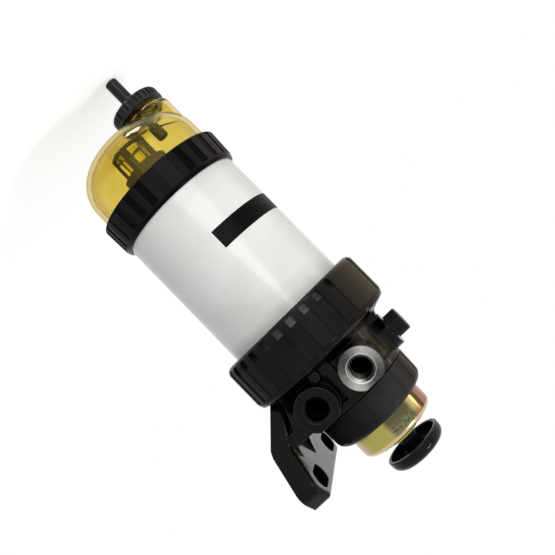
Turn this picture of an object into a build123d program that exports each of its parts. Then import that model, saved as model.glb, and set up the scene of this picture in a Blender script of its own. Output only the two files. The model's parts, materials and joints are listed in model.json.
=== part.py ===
from build123d import *
import os
from math import cos, pi, sin, sqrt

# Fuel water separator with a hand priming pump: a cast head with a wall bracket, a pump on top,
# a spin-on filter can held by a quarter-turn locking collar, and a clear water bowl with a drain cap.
# Heights are measured up the filter's axis from the lower edge of the locking collar.
# Ports face -Y, the bracket is on +X, the air vent on -X, the bowl hangs at the bottom.
# At the end everything moves so that the origin is the centre of the bracket's two slots.

os.makedirs("parts", exist_ok=True)

# Clearances
SLIDE_GAP = 0.3     # curved faces that move past each other
SEAT_GAP = 0.1      # flat faces of pieces that come apart
FIT_GAP = 0.05      # pieces screwed or pushed home
SHAFT_GAP = 0.08    # a shaft running in its guide

# Modelling allowances
OVERCUT = 1.0       # how far a cut reaches past the faces that it opens
SINK = 0.5          # how far one form reaches into the next one of its own piece

# Filter can
CAN_R = 46.0
CAN_WALL = 0.9
CAN_LENGTH = 141.0
CAN_TOP = 24.0
CAN_BEAD_REACH = 6.2
CAN_BEAD_T = 2.4
CAN_BEAD_EDGE_R = 0.8
CAN_BOTTOM = CAN_TOP - CAN_LENGTH
CAN_BEAD_R = CAN_R + CAN_BEAD_REACH
CAN_INNER_R = CAN_R - CAN_WALL

# Locking collar round the top of the can
COLLAR_HEIGHT = 32.3
COLLAR_WALL = 4.2
COLLAR_LIP_T = 6.0
COLLAR_EDGE_R = 5.0
COLLAR_RIM_T = 1.7
COLLAR_RIM_INSET = 0.4
COLLAR_RIM_STEP = 0.5
NOTCH_COUNT = 29
NOTCH_PITCH = 11.5
NOTCH_FIRST = -132.3
NOTCH_WIDTH = 5.6
NOTCH_DEPTH = 0.9
POCKET_DEPTH = 3.2
POCKET_FLOOR_Z = 1.8
POCKET_TOP_Z = 4.8
POCKET_SLOPE = 3.4
LUG_COUNT = 4
LUG_ARC = 34.0
LUG_T = 3.4
LUG_REACH = 2.5
LUG_Z = 23.5
CAN_NECK_GAP = 0.5
CAN_BEAD_GAP = 0.6
COLLAR_BORE_R = CAN_BEAD_R + CAN_BEAD_GAP
COLLAR_R = COLLAR_BORE_R + COLLAR_WALL
CAN_BEAD_Z = COLLAR_LIP_T + SEAT_GAP

# Head casting
HEAD_FLANGE_STEP = 1.0
HEAD_FLANGE_T = 2.0
HEAD_FLANGE_CHAMFER = 0.5
SKIRT_WALL = 3.0
SKIRT_LUG_GAP = 0.4
SEAL_T = 1.8
DECK_R = 45.0
DECK_RISE = 4.0
DECK_EDGE_R = 1.5
BARREL_R = 36.0
BARREL_TOP = 63.6
BARREL_FOOT_R = 3.0
WEB_ROOT = 8.0
BOSS_ROOT = 12.0
CHAMBER_TOP = 33.6
COLLET_R = 37.8
COLLET_Z = 65.4
SPIGOT_BASE = 69.8
SPIGOT_R = 33.4
SPIGOT_HEIGHT = 14.0
PUMP_CAVITY_R = 27.5
PUMP_FLOOR_R = 21.0
PUMP_FLOOR_Z = 71.5
HEAD_FLANGE_R = COLLAR_R - HEAD_FLANGE_STEP
FLANGE_Z = COLLAR_HEIGHT + SLIDE_GAP
DECK_Z = FLANGE_Z + HEAD_FLANGE_T
SKIRT_R = COLLAR_BORE_R - LUG_REACH - SKIRT_LUG_GAP
SKIRT_IN_R = SKIRT_R - SKIRT_WALL
SKIRT_Z = CAN_BEAD_Z + CAN_BEAD_T + SEAL_T
SPIGOT_TOP = SPIGOT_BASE + SPIGOT_HEIGHT

# Nipple that the clean fuel leaves the filter by
NIPPLE_R = 9.5
NIPPLE_BORE_R = 6.5
NIPPLE_END_Z = 13.0
NIPPLE_SEAL_W = 2.5
NIPPLE_SEAL_LIP = 2.0

# Ports
PORT_Z = 55.2
PORT_SPACING = 37.8
PORT_SHIFT = 1.7
PORT_REACH = 13.5
BOSS_R = 14.2
BOSS_FLAT_Z = 67.3
PORT_R = 7.2
PORT_DEPTH = 18.0
PORT_MOUTH_R = 8.7
PORT_CHAMFER = 1.5
PORT_MOUTH_CUT = 0.002
GALLERY_R = 6.7
CROSS_GALLERY_R = 4.5
PORT_RIB_X = (-5.4, 0.6)
PORT_RIB_REACH = 6.5
PORT_RIB_RISE = 1.0
PORT_PAD_X = (-4.6, 1.4)
PORT_PAD_REACH = 9.6
PORT_PAD_RISE = 8.4
PORT_STUD_X = 6.2
PORT_STUD_R = 3.6
PORT_STUD_RISE = 5.2
PORT_STUD_REACH = 10.8
PORT_FACE_Y = BARREL_R + PORT_REACH
PORT_X = (PORT_SHIFT - PORT_SPACING / 2, PORT_SHIFT + PORT_SPACING / 2)

# Air vent
VENT_Z = 55.7
VENT_BOSS_R = 13.0
VENT_REACH = 7.5
VENT_BORE_R = 4.2
VENT_BORE_END = 30.0
VENT_SEAT_R = 7.2
VENT_SEAT_DEPTH = 1.0
VENT_HEAD_R = 8.7
VENT_HEAD_LENGTH = 9.4
VENT_SHANK_LENGTH = 9.0
VENT_KNURLS = 40
VENT_KNURL_WIDTH = 0.6
VENT_KNURL_DEPTH = 0.5
VENT_SEAL_T = 1.5
VENT_EDGE_R = 1.0
VENT_KNURL_INSET = 1.0
VENT_PASSAGE_R = 2.4
VENT_PASSAGE_SHIFT = 2.0
VENT_GUSSET_T = 13.0
VENT_GUSSET_FOOT = 4.0
VENT_GUSSET_FOOT_Z = 1.0
VENT_GUSSET_KNEE = 5.0
VENT_GUSSET_DROP = 9.0
VENT_GUSSET_INSET = 2.0
VENT_GUSSET_EDGE_R = 2.0
VENT_FACE_X = BARREL_R + VENT_REACH

# Wall bracket, part of the head casting
BRACKET_FACE_X = 65.5
BRACKET_T = 14.2
SLOT_Z = 88.8
SLOT_SPACING = 71.0
SLOT_WIDTH = 13.4
SLOT_LENGTH = 24.8
BRACKET_TOP = 100.2
BRACKET_OVERHANG = 1.5
BRACKET_WIDE_Z = 88.0
BRACKET_NECK_Y = 21.0
BRACKET_NECK_Z = 36.8
BRACKET_TOP_Y = 47.5
BRACKET_EDGE_R = 3.0
BRACKET_FACE_EDGE_R = 0.8
BRACKET_WIDE_CORNER_R = 7.0
BRACKET_TOP_CORNER_R = 5.0
BRACKET_HEEL_INSET = 1.2
BRACKET_HEEL_RISE = 4.0
BRACKET_HEEL_R = 3.0
ARM_FOOT_X = 47.8
ARM_FOOT_Z = 36.2
ARM_KNEE_Z = 56.2
ARM_INNER_FOOT_X = 37.5
ARM_INNER_KNEE_Z = 65.0
ARM_INNER_R = 6.0
WEB_T = 9.0
WEB_TOP = 65.0
WEB_EDGE = ((39.5, 40.0), (42.7, 53.4), (44.6, 58.8), (48.2, 65.0))
GROOVE_DEPTH = 10.0
POCKET_Z = 57.0
RIB_TIP_Z = 74.0
RIB_TIP_Y = 33.0
RIB_TIP_W = 2.0
RIB_HEEL = 9.0
RIB_INSET = 4.0
RIB_WIDTH = 9.0
RIB_FOOT_R = 3.0
SPINE_WIDTH = 14.0
SPINE_TIP_Z = 82.2
SPINE_STEP = 6.0
SPINE_R = 10.0
BRACKET_INNER_X = BRACKET_FACE_X - BRACKET_T
BRACKET_WIDE_Y = COLLAR_R + BRACKET_OVERHANG
BRACKET_SPREAD = (BRACKET_WIDE_Y - BRACKET_NECK_Y) / (BRACKET_WIDE_Z - BRACKET_NECK_Z)

# Blanking plugs in the spare ports on the far side
PLUG_HEAD_R = 10.5
PLUG_HEAD_T = 3.2
PLUG_LENGTH = 12.0
PLUG_HEX = 8.0
PLUG_HEX_DEPTH = 7.0
PLUG_SEAL_T = 1.5
PLUG_SEAL_INSET = 0.6

# Filter element inside the can
PLATE_Z = 16.5
PLATE_T = 1.2
PLATE_RIM = 4.0
INLET_HOLES = 8
INLET_HOLE_R = 4.5
INLET_HOLE_PCR = 29.0
MEDIA_R = 41.5
MEDIA_CORE_R = 19.0
MEDIA_T = 1.6
PLEATS = 36
PLEAT_WIDE = 1.8
PLEAT_NARROW = 0.6
ELEMENT_TOP = 8.0
ELEMENT_BOTTOM = -92.0
END_CAP_T = 2.0
END_CAP_OVERHANG = 1.0
END_CAP_RIM_R = 0.8
END_CAP_RIM_GAP = 2.0
TUBE_R = 16.5
TUBE_WALL = 1.0
TUBE_WINDOW_W = 8.0
TUBE_WINDOW_H = 11.0
TUBE_ROWS = 6
TUBE_WINDOWS = 6
CAGE_R = 14.2
CAGE_WALL = 2.4
CAGE_END = -156.5
CAGE_STEP_Z = -138.0
CAGE_NECK_R = 17.6
CAGE_WINDOWS = 5
CAGE_WINDOW_W = 11.5
CAGE_WINDOW_H = 15.6
CAGE_WINDOW_SILL = 2.4
CAGE_WINDOW_FIRST = -124.0

# Bowl, its seal and its collar
BOWL_INSET = 0.8
BOWL_WALL = 2.8
BOWL_CORNER_R = 25.5
BOWL_BOTTOM = -162.4
BOWL_FLANGE_REACH = 1.4
BOWL_FLANGE_T = 2.4
BOWL_SEAL_T = 1.5
BOWL_SEAL_INSET = 0.4
RING_WALL = 2.6
RING_TAPER = 0.8
RING_RIM_STEP = 1.0
RING_TOP = -101.2
RING_SHOULDER = 3.3
RING_LIP_T = 1.6
RING_EDGE_R = 2.0
RING_THREAD_RUNOUT = 1.5
RING_THREAD_GAP = 0.5
RING_FACETS = 28
RING_FACET_FIRST = -100.3
RING_FACET_WIDTH = 5.7
RING_FACET_DEPTH = 0.7
RING_FACET_SILL = 0.7
POST_R = 10.8
POST_WALL = 2.2
POST_TOP = -141.0
POST_RIBS = 12
POST_GROOVE_WIDTH = 2.6
POST_GROOVE_DEPTH = 0.9
BOWL_R = CAN_R - BOWL_INSET
BOWL_FLANGE_R = BOWL_R + BOWL_FLANGE_REACH
RING_THREAD_R = BOWL_FLANGE_R + RING_THREAD_GAP
RING_R_BOTTOM = RING_THREAD_R + RING_WALL
RING_R_TOP = RING_R_BOTTOM - RING_TAPER
RING_R_RIM = RING_R_TOP - RING_RIM_STEP
FLANGE_TOP = CAN_BOTTOM - SEAT_GAP - BOWL_SEAL_T
FLANGE_BOTTOM = FLANGE_TOP - BOWL_FLANGE_T
RING_BOTTOM = FLANGE_BOTTOM - SEAT_GAP - RING_LIP_T

# Drain in the bowl
DRAIN_X = -24.3
DRAIN_BOSS_R = 19.7
DRAIN_BOSS_EDGE_R = 2.0
DRAIN_BOSS_HEIGHT = 20.0
NECK_R = 14.6
NECK_BORE_R = 10.4
CAP_R = 19.0
CAP_TOP = -165.2
CAP_BOTTOM = -174.6
CAP_FLOOR_T = 2.6
CAP_GROOVES = 30
CAP_GROOVE_WIDTH = 1.9
CAP_GROOVE_DEPTH = 1.1
CAP_GROOVE_STOP = 2.2
CAP_EDGE_R = 3.0
CAP_MOUTH_EDGE_R = 1.0
CAP_MOUTH_CHAMFER = 1.3
CAP_HUB_T = 1.6
CAP_HUB_REACH = 2.2
CAP_HUB_FLARE = 1.2
SPOUT_R = 4.65
SPOUT_BORE_R = 2.6
SPOUT_END = -196.8
SPOUT_EDGE_R = 0.8
SPOUT_KEY_W = 1.4
SPOUT_KEY_DEPTH = 0.8
DRAIN_SEAL_T = 0.9
DRAIN_SEAL_INSET = 0.6
STEM_ROD_R = 2.4
STEM_HEAD_R = 4.1
STEM_HEAD_EDGE_R = 1.6
STEM_FEET = 3
STEM_FOOT_T = 1.6
STEM_FOOT_GAP = 0.9
STEM_HEAD_BOTTOM = -154.6
STEM_HEAD_TOP = -143.2
CAP_FLOOR = CAP_BOTTOM + CAP_FLOOR_T
NECK_END = CAP_FLOOR + DRAIN_SEAL_T + SEAT_GAP

# Priming pump
NUT_R_BOTTOM = 37.7
NUT_R_TOP = 36.9
NUT_BASE_GAP = 0.9
NUT_TOP = 92.0
NUT_CORNER_R = 6.5
NUT_FACETS = 18
NUT_FACET_FIRST = -87.7
NUT_FACET_WIDTH = 6.7
NUT_FACET_DEPTH = 0.5
DIAPHRAGM_T = 1.4
DIAPHRAGM_SLACK = 2.5
DIAPHRAGM_BEND_R = 2.0
COVER_R = 28.6
COVER_T = 1.4
COVER_HEIGHT = 23.4
COVER_CORNER_R = 4.5
COVER_BOSS_R = 11.4
COVER_BOSS_RISE = 1.8
COVER_BOSS_EDGE_R = 0.8
COVER_FLANGE_R = 33.0
ROD_R = 6.9
BUSH_R = 8.8
BUSH_FLANGE_T = 3.0
BUSH_RISE = 1.9
PUMP_STROKE = 11.5
BUTTON_R = 21.6
BUTTON_HEIGHT = 9.7
BUTTON_WALL = 2.6
BUTTON_CORNER_R = 6.5
BUTTON_RIM_EDGE_R = 0.8
BUTTON_HUB_R = 10.0
BUTTON_HUB_DROP = 3.5
PISTON_DROP = 9.6
PISTON_R = 17.0
PISTON_T = 1.5
PISTON_STUD_R = 3.0
CLIP_R = 6.0
CLIP_T = 2.4
CLIP_SLIT = 1.2
STUD_END = 0.6
SPRING_R = 12.0
SPRING_WIRE_R = 0.9
SPRING_TURNS = 5
VALVE_POCKET_R = 6.6
VALVE_POCKET_DEPTH = 4.0
VALVE_DISC_R = 5.8
VALVE_DISC_T = 1.2
VALVE_LIP_T = 0.7
VALVE_STEM_R = 1.2
VALVE_BUTTON_T = 2.6
VALVE_TAIL = 5.0
VALVE_KNOB_T = 1.6
VALVE_KNOB_GAP = 0.6
VALVE_SEAT_R = 3.2
INLET_VALVE = (14.0, -8.0)
OUTLET_VALVE = (-2.0, 15.0)
NUT_BASE = SPIGOT_BASE + NUT_BASE_GAP
DIAPHRAGM_Z = SPIGOT_TOP
COVER_Z = DIAPHRAGM_Z + DIAPHRAGM_T
COVER_TOP = COVER_Z + COVER_HEIGHT
COVER_BOSS_TOP = COVER_TOP + COVER_BOSS_RISE
PISTON_Z = COVER_TOP - PISTON_DROP
PISTON_LOW = PISTON_Z - DIAPHRAGM_T - PISTON_T
BUSH_FLANGE_R = COVER_BOSS_R - COVER_T - FIT_GAP
BUSH_TOP = COVER_BOSS_TOP + BUSH_RISE
BUTTON_TOP = BUSH_TOP + SEAT_GAP + PUMP_STROKE + BUTTON_HUB_DROP + BUTTON_WALL
BUTTON_RIM_Z = BUTTON_TOP - BUTTON_HEIGHT


def outline(*corners):
    """A closed outline of (x, y) corners; (x, y, r) rounds that corner."""
    face = make_face(Polyline(*[(c[0], c[1]) for c in corners], close=True))
    for corner in corners:
        if len(corner) == 3:
            nearest = face.vertices().sort_by_distance(Vector(corner[0], corner[1], 0))[0]
            face = fillet(nearest, corner[2])
    return face


def turned(*corners):
    """An outline of (radius, height) corners turned about Z."""
    return revolve(Plane.XZ * outline(*corners), Axis.Z)


def ring(outer, inner, low, high):
    return turned((inner, low), (outer, low), (outer, high), (inner, high))


def disc(radius, low, high):
    return Pos(0, 0, (low + high) / 2) * Cylinder(radius, high - low)


def sectors(outer, inner, low, high, count, arc, first=0.0):
    """Equal arcs of a ring, spread round Z; first is the middle of the first one."""
    section = Plane.XZ * outline((inner, low), (outer, low), (outer, high), (inner, high))
    one = revolve(section, Axis.Z, revolution_arc=arc)
    return [Rot(0, 0, first - arc / 2 + i * 360 / count) * one for i in range(count)]


def cutters(count, pitch, first, width, *corners):
    """A (radius, height) outline as thick as width, repeated round Z."""
    one = extrude(Plane.XZ * outline(*corners), amount=width / 2, both=True)
    return [Rot(0, 0, first + i * pitch) * one for i in range(count)]


def along_y(radius, x, z, y_from, y_to):
    return Pos(x, (y_from + y_to) / 2, z) * Rot(90, 0, 0) * Cylinder(radius, abs(y_to - y_from))


def along_x(radius, y, z, x_from, x_to):
    return Pos((x_from + x_to) / 2, y, z) * Rot(0, 90, 0) * Cylinder(radius, abs(x_to - x_from))


def upright(radius, x, y, low, high):
    return Pos(x, y, (low + high) / 2) * Cylinder(radius, high - low)


def slab(x_from, x_to, y_from, y_to, z_from, z_to):
    size = (x_to - x_from, y_to - y_from, z_to - z_from)
    return Pos((x_from + x_to) / 2, (y_from + y_to) / 2, (z_from + z_to) / 2) * Box(*size)


# Filter can and element

def filter_can():
    """Drawn steel tube with the bead that the locking collar lifts it by."""
    return turned(
        (CAN_INNER_R, CAN_BOTTOM), (CAN_R, CAN_BOTTOM), (CAN_R, CAN_BEAD_Z),
        (CAN_BEAD_R, CAN_BEAD_Z, CAN_BEAD_EDGE_R), (CAN_BEAD_R, CAN_BEAD_Z + CAN_BEAD_T, CAN_BEAD_EDGE_R),
        (CAN_R, CAN_BEAD_Z + CAN_BEAD_T), (CAN_R, CAN_TOP), (CAN_INNER_R, CAN_TOP))


def element_top_plate():
    rim = CAN_INNER_R - FIT_GAP
    hole = NIPPLE_R + NIPPLE_SEAL_W
    plate = turned(
        (hole, PLATE_Z), (rim, PLATE_Z), (rim, PLATE_Z + PLATE_RIM), (rim - PLATE_T, PLATE_Z + PLATE_RIM),
        (rim - PLATE_T, PLATE_Z + PLATE_T), (hole, PLATE_Z + PLATE_T))
    drill = disc(INLET_HOLE_R, PLATE_Z - OVERCUT, PLATE_Z + PLATE_T + OVERCUT)
    return plate - [place * drill for place in PolarLocations(INLET_HOLE_PCR, INLET_HOLES)]


def nipple_seal():
    """The grommet that seals the element on the head's nipple."""
    inner = NIPPLE_R + FIT_GAP
    groove = NIPPLE_R + NIPPLE_SEAL_W - FIT_GAP
    lip = groove + NIPPLE_SEAL_LIP
    low = PLATE_Z - NIPPLE_SEAL_LIP
    high = PLATE_Z + PLATE_T + NIPPLE_SEAL_LIP
    return turned(
        (inner, low), (lip, low), (lip, PLATE_Z), (groove, PLATE_Z),
        (groove, PLATE_Z + PLATE_T), (lip, PLATE_Z + PLATE_T), (lip, high), (inner, high))


def can_seal():
    return ring(SKIRT_R, SKIRT_IN_R, CAN_BEAD_Z + CAN_BEAD_T, SKIRT_Z)


def pleat_outline(tip, root, tip_width, root_width):
    """A star of blunt pleats between two radii."""
    points = []
    for i in range(PLEATS):
        for radius, width, turn in ((tip, tip_width, i), (root, root_width, i + 0.5)):
            for side in (-0.5, 0.5):
                angle = turn * 2 * pi / PLEATS + side * width / radius
                points.append((radius * cos(angle), radius * sin(angle)))
    return make_face(Polyline(*points, close=True))


def filter_media():
    """Pleated paper: one closed zigzag wall between two stars."""
    outside = pleat_outline(MEDIA_R, MEDIA_CORE_R + MEDIA_T, PLEAT_WIDE, PLEAT_NARROW)
    inside = pleat_outline(MEDIA_R - MEDIA_T, MEDIA_CORE_R, PLEAT_NARROW, PLEAT_WIDE)
    return Pos(0, 0, ELEMENT_BOTTOM) * extrude(outside - inside, ELEMENT_TOP - ELEMENT_BOTTOM)


def element_upper_cap():
    """End cap glued on the pleats, with the collar that carries the grommet's lower face."""
    collar_top = PLATE_Z - NIPPLE_SEAL_LIP
    inner = NIPPLE_R + NIPPLE_SEAL_W
    rim = MEDIA_R + END_CAP_OVERHANG
    return turned(
        (inner, ELEMENT_TOP), (rim, ELEMENT_TOP), (rim, ELEMENT_TOP + END_CAP_T, END_CAP_RIM_R),
        (inner + END_CAP_T, ELEMENT_TOP + END_CAP_T), (inner + END_CAP_T, collar_top), (inner, collar_top))


def centre_tube():
    """Moulded tube inside the pleats, with rows of windows."""
    tube = ring(TUBE_R, TUBE_R - TUBE_WALL, ELEMENT_BOTTOM, ELEMENT_TOP)
    step = (ELEMENT_TOP - ELEMENT_BOTTOM) / TUBE_ROWS
    half = TUBE_WINDOW_W / 2
    windows = []
    for row in range(TUBE_ROWS):
        sill = ELEMENT_BOTTOM + (row + 0.5) * step - TUBE_WINDOW_H / 2
        window = slab(0, TUBE_R + OVERCUT, -half, half, sill, sill + TUBE_WINDOW_H)
        windows += [Rot(0, 0, i * 360 / TUBE_WINDOWS) * window for i in range(TUBE_WINDOWS)]
    return tube - windows


def element_bottom_cap():
    """Lower end cap, with the windowed cage that reaches down into the bowl."""
    plate_top = ELEMENT_BOTTOM
    plate_low = plate_top - END_CAP_T
    rim = CAN_INNER_R - FIT_GAP
    rim_end = CAN_BOTTOM + END_CAP_RIM_GAP
    bore = CAGE_R - CAGE_WALL
    neck_bore = CAGE_NECK_R - CAGE_WALL
    body = turned(
        (bore, CAGE_END), (CAGE_R, CAGE_END), (CAGE_R, CAGE_STEP_Z), (CAGE_NECK_R, CAGE_STEP_Z),
        (CAGE_NECK_R, plate_low), (rim - PLATE_T, plate_low), (rim - PLATE_T, rim_end), (rim, rim_end),
        (rim, plate_top), (neck_bore, plate_top), (neck_bore, CAGE_STEP_Z + CAGE_WALL),
        (bore, CAGE_STEP_Z + CAGE_WALL))
    sill = CAGE_END + CAGE_WINDOW_SILL
    half = CAGE_WINDOW_W / 2
    window = slab(0, CAGE_R + OVERCUT, -half, half, sill, sill + CAGE_WINDOW_H)
    turns = [CAGE_WINDOW_FIRST + i * 360 / CAGE_WINDOWS for i in range(CAGE_WINDOWS)]
    return body - [Rot(0, 0, turn) * window for turn in turns]


# Locking collar

def locking_collar():
    """Ribbed collar with finger notches; four lugs inside hang it from the head's skirt."""
    wall_z = COLLAR_HEIGHT - COLLAR_RIM_T
    floor = COLLAR_R - NOTCH_DEPTH
    pocket = COLLAR_R - POCKET_DEPTH
    rim = COLLAR_R - COLLAR_RIM_INSET
    far = COLLAR_R + OVERCUT
    body = turned(
        (CAN_R + CAN_NECK_GAP, 0), (COLLAR_R, 0, COLLAR_EDGE_R), (COLLAR_R, wall_z), (floor, wall_z),
        (rim, wall_z + COLLAR_RIM_STEP), (rim, COLLAR_HEIGHT),
        (COLLAR_BORE_R, COLLAR_HEIGHT), (COLLAR_BORE_R, COLLAR_LIP_T), (CAN_R + CAN_NECK_GAP, COLLAR_LIP_T))
    notches = cutters(
        NOTCH_COUNT, NOTCH_PITCH, NOTCH_FIRST, NOTCH_WIDTH,
        (pocket, POCKET_FLOOR_Z), (far, POCKET_FLOOR_Z), (far, wall_z), (floor, wall_z),
        (floor, POCKET_TOP_Z + POCKET_SLOPE), (pocket, POCKET_TOP_Z))
    lug_z = LUG_Z + LUG_T + SLIDE_GAP
    lugs = sectors(COLLAR_BORE_R + SINK, COLLAR_BORE_R - LUG_REACH, lug_z, lug_z + LUG_T, LUG_COUNT, LUG_ARC)
    return body - notches + lugs


# Bowl group

def bowl_shell(radius, bottom, corner, top):
    """A closed cup with a big rounded bottom corner."""
    return turned((0, bottom), (radius, bottom, corner), (radius, top), (0, top))


def bowl():
    """Clear moulded bowl: flange at the top, and the drain's hollow boss and neck at the bottom."""
    outer = bowl_shell(BOWL_R, BOWL_BOTTOM, BOWL_CORNER_R, FLANGE_TOP)
    flange = disc(BOWL_FLANGE_R, FLANGE_BOTTOM, FLANGE_TOP)
    boss_top = BOWL_BOTTOM + DRAIN_BOSS_HEIGHT
    boss = Pos(DRAIN_X, 0, 0) * turned(
        (0, BOWL_BOTTOM), (DRAIN_BOSS_R, BOWL_BOTTOM, DRAIN_BOSS_EDGE_R),
        (DRAIN_BOSS_R, boss_top), (0, boss_top))
    neck = upright(NECK_R, DRAIN_X, 0, NECK_END, BOWL_BOTTOM)
    floor = BOWL_BOTTOM + BOWL_WALL
    inside = bowl_shell(BOWL_R - BOWL_WALL, floor, BOWL_CORNER_R - BOWL_WALL, FLANGE_TOP + OVERCUT)
    well = upright(DRAIN_BOSS_R - BOWL_WALL, DRAIN_X, 0, floor, boss_top)
    bore = upright(NECK_BORE_R, DRAIN_X, 0, NECK_END - OVERCUT, floor + OVERCUT)
    return outer + flange + boss + neck - inside - well - bore + locating_post()


def locating_post():
    """Ribbed tube on the bowl's floor, inside the element's cage."""
    low = BOWL_BOTTOM + BOWL_WALL / 2
    far = POST_R + OVERCUT
    floor = POST_R - POST_GROOVE_DEPTH
    foot = BOWL_BOTTOM + BOWL_WALL
    above = POST_TOP + OVERCUT
    grooves = cutters(
        POST_RIBS, 360 / POST_RIBS, 0, POST_GROOVE_WIDTH,
        (floor, foot), (far, foot), (far, above), (floor, above))
    return ring(POST_R, POST_R - POST_WALL, low, POST_TOP) - grooves


def bowl_seal():
    inner = BOWL_R - BOWL_WALL + BOWL_SEAL_INSET
    return ring(BOWL_FLANGE_R - BOWL_SEAL_INSET, inner, FLANGE_TOP, FLANGE_TOP + BOWL_SEAL_T)


def bowl_collar():
    """Faceted screw collar that carries the bowl's flange and screws on the can's lower end."""
    bore = BOWL_R + SLIDE_GAP
    mouth = CAN_R + SLIDE_GAP
    lip_z = RING_BOTTOM + RING_LIP_T
    shoulder = RING_TOP - RING_SHOULDER
    thread_z = shoulder - RING_THREAD_RUNOUT
    body = turned(
        (bore, RING_BOTTOM), (RING_R_BOTTOM, RING_BOTTOM), (RING_R_TOP, shoulder),
        (RING_R_RIM, RING_TOP, RING_EDGE_R), (mouth, RING_TOP), (mouth, thread_z),
        (RING_THREAD_R, thread_z), (RING_THREAD_R, lip_z), (bore, lip_z))
    far = RING_R_BOTTOM + OVERCUT
    sill = RING_BOTTOM + RING_FACET_SILL
    facets = cutters(
        RING_FACETS, 360 / RING_FACETS, RING_FACET_FIRST, RING_FACET_WIDTH,
        (RING_R_BOTTOM - RING_FACET_DEPTH, sill), (far, sill), (far, shoulder),
        (RING_R_TOP - RING_FACET_DEPTH, shoulder))
    return body - facets


def drain_cap():
    """Grooved cap nut on the bowl's neck, with the drain spout below."""
    bore = NECK_R + SLIDE_GAP
    cup = turned(
        (0, CAP_BOTTOM), (CAP_R, CAP_BOTTOM, CAP_EDGE_R), (CAP_R, CAP_TOP, CAP_MOUTH_EDGE_R),
        (bore + CAP_MOUTH_CHAMFER, CAP_TOP), (bore, CAP_TOP - CAP_MOUTH_CHAMFER),
        (bore, CAP_FLOOR), (0, CAP_FLOOR))
    hub_z = CAP_BOTTOM - CAP_HUB_T
    hub_top = CAP_BOTTOM + SINK
    hub_r = SPOUT_R + CAP_HUB_REACH
    hub = turned((0, hub_z), (hub_r, hub_z), (hub_r + CAP_HUB_FLARE, hub_top), (0, hub_top))
    spout = turned((0, SPOUT_END), (SPOUT_R, SPOUT_END, SPOUT_EDGE_R), (SPOUT_R, CAP_BOTTOM), (0, CAP_BOTTOM))
    far = CAP_R + OVERCUT
    floor = CAP_R - CAP_GROOVE_DEPTH
    groove_low = CAP_BOTTOM - OVERCUT
    groove_high = CAP_TOP - CAP_GROOVE_STOP
    grooves = cutters(
        CAP_GROOVES, 360 / CAP_GROOVES, 0, CAP_GROOVE_WIDTH,
        (floor, groove_low), (far, groove_low), (far, groove_high), (floor, groove_high))
    key = slab(-SPOUT_KEY_W / 2, SPOUT_KEY_W / 2, -SPOUT_R - OVERCUT, -SPOUT_R + SPOUT_KEY_DEPTH,
               SPOUT_END - OVERCUT, hub_z)
    outlet = disc(SPOUT_BORE_R, SPOUT_END - OVERCUT, CAP_FLOOR + OVERCUT)
    return Pos(DRAIN_X, 0, 0) * (cup - grooves + hub + spout - key - outlet)


def drain_seal():
    outer = NECK_R - DRAIN_SEAL_INSET
    inner = NECK_BORE_R + DRAIN_SEAL_INSET
    return Pos(DRAIN_X, 0, 0) * ring(outer, inner, CAP_FLOOR, CAP_FLOOR + DRAIN_SEAL_T)


def drain_stem():
    """Valve stem standing in the bowl; three feet carry it on the cap's floor."""
    foot_z = CAP_FLOOR + FIT_GAP
    rod = disc(STEM_ROD_R, foot_z + STEM_FOOT_T - SINK, STEM_HEAD_BOTTOM)
    head = turned(
        (0, STEM_HEAD_BOTTOM), (STEM_HEAD_R, STEM_HEAD_BOTTOM),
        (STEM_HEAD_R, STEM_HEAD_TOP, STEM_HEAD_EDGE_R), (0, STEM_HEAD_TOP))
    half = STEM_FOOT_T / 2
    foot = slab(0, NECK_BORE_R - STEM_FOOT_GAP, -half, half, foot_z, foot_z + STEM_FOOT_T)
    feet = [Rot(0, 0, i * 360 / STEM_FEET) * foot for i in range(STEM_FEET)]
    return Pos(DRAIN_X, 0, 0) * (rod + head + feet)


# Air vent

def vent_plug():
    """Knurled finger screw; its threaded shank shuts the air passage."""
    low = VENT_SEAL_T
    high = low + VENT_HEAD_LENGTH
    head = turned((0, low), (VENT_HEAD_R, low), (VENT_HEAD_R, high, VENT_EDGE_R), (0, high))
    floor = VENT_HEAD_R - VENT_KNURL_DEPTH
    far = VENT_HEAD_R + OVERCUT
    knurl_low = low + VENT_KNURL_INSET
    knurl_high = high - VENT_KNURL_INSET
    knurls = cutters(
        VENT_KNURLS, 360 / VENT_KNURLS, 0, VENT_KNURL_WIDTH,
        (floor, knurl_low), (far, knurl_low), (far, knurl_high), (floor, knurl_high))
    shank = disc(VENT_BORE_R - SLIDE_GAP, -VENT_SHANK_LENGTH, low)
    return at_vent(head - knurls + shank)


def at_vent(shape):
    """Moves a shape whose Z points out of the vent boss, with Z = 0 on the floor of the seal's seat."""
    return Pos(-VENT_FACE_X + VENT_SEAT_DEPTH, 0, VENT_Z) * Rot(0, -90, 0) * shape


def vent_seal():
    return at_vent(ring(VENT_SEAT_R - SLIDE_GAP, VENT_BORE_R + SEAT_GAP, SEAT_GAP, VENT_SEAL_T))


# Head casting

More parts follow.
